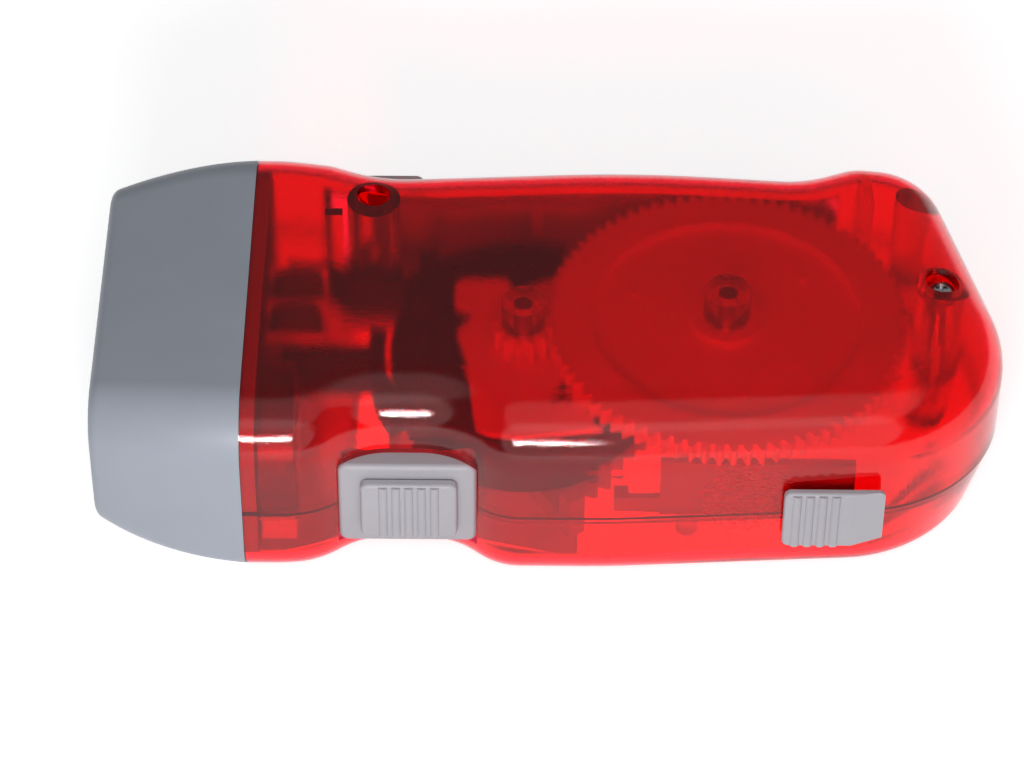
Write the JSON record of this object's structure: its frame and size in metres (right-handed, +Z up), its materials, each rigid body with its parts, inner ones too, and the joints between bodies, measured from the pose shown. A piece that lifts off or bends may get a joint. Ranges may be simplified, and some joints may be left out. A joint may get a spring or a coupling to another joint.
{
  "type": "hand dynamo flashlight",
  "caption": "Hand dynamo flashlight with a squeeze lever, clear red case, grey head, thumb switch and lock slider; the gear train and rotor inside turn with the lever.",
  "frame": {"origin": "on the flat lower face of the case, below the middle of the outline", "axes": "+X to the tail, -X out of the lens, +Y to the squeeze lever, +Z up"},
  "size_m": [0.1216, 0.0604, 0.028],
  "materials": {
    "red_clear": "clear red moulded plastic, polished",
    "grey_head": "blue-grey moulded plastic, satin",
    "grey_trim": "grey moulded plastic, satin",
    "clear_lens": "clear plastic lens",
    "mirror_plate": "metallised plastic",
    "board": "circuit board",
    "lamp_resin": "clear lamp resin",
    "gear_nylon": "natural moulded plastic",
    "pale_plate": "pale moulded plastic",
    "dark_steel": "blackened steel",
    "magnet": "sintered ring magnet",
    "stator_steel": "dark steel stampings",
    "steel": "plain steel",
    "screw_steel": "bright plated steel",
    "coil_tape": "coil under dark tape",
    "cell_can": "cell in a dark sleeve",
    "black_knob": "black plastic"
  },
  "bodies": {
    "case": {"upper_shell": "red_clear", "lower_shell": "red_clear", "bezel": "grey_head", "lens": "clear_lens", "reflector": "mirror_plate", "lamp_board": "board", "led_lamps": "lamp_resin", "gear_shaft": "steel", "rotor_shaft": "steel", "bridge_plate": "pale_plate", "stator_core": "stator_steel", "coil_former": "pale_plate", "coil_windings": "coil_tape", "button_cell": "cell_can", "cell_clips": "steel", "switch_frame": "grey_trim", "switch_can": "steel", "pivot_screw": "screw_steel", "tail_screw": "screw_steel"},
    "lever": {"squeeze_lever": "grey_trim", "lever_spring": "steel"},
    "wheel": {"big_gear": "gear_nylon", "drive_pinion": "gear_nylon", "ratchet_disc": "gear_nylon"},
    "rotor": {"rotor_pinion": "gear_nylon", "flywheel": "dark_steel", "ring_magnet": "magnet", "magnet_hub": "gear_nylon"},
    "switch": {"switch_slider": "grey_trim", "switch_knob": "black_knob"},
    "lock": {"lock_slider": "grey_trim", "lock_arm": "grey_trim"}
  },
  "joints": [
    {"name": "lever_hinge", "type": "hinge", "parent": "case", "child": "lever", "pos_m": [-0.0239, 0.01755, 0.0052], "axis": [0, 0, 1], "range_deg": [0, 24]},
    {"name": "wheel_spin", "type": "hinge", "parent": "case", "child": "wheel", "pos_m": [0.0242, 0, 0.0191], "axis": [0, 0, 1], "range_deg": [-200, 0]},
    {"name": "rotor_spin", "type": "hinge", "parent": "case", "child": "rotor", "pos_m": [-0.0033, -0.00241, 0.0096], "axis": [0, 0, 1], "range_deg": [0, 1310]},
    {"name": "switch_slide", "type": "slide", "parent": "case", "child": "switch", "axis": [1, 0, 0], "range_m": [-0.0022, 0.0022]},
    {"name": "lock_slide", "type": "slide", "parent": "case", "child": "lock", "axis": [1, 0, 0], "range_m": [-0.0035, 0]}
  ],
  "couplings": [
    {"joint": "wheel_spin", "follows": "lever_hinge", "ratio": -8.1429},
    {"joint": "rotor_spin", "follows": "lever_hinge", "ratio": 54.286}
  ]
}
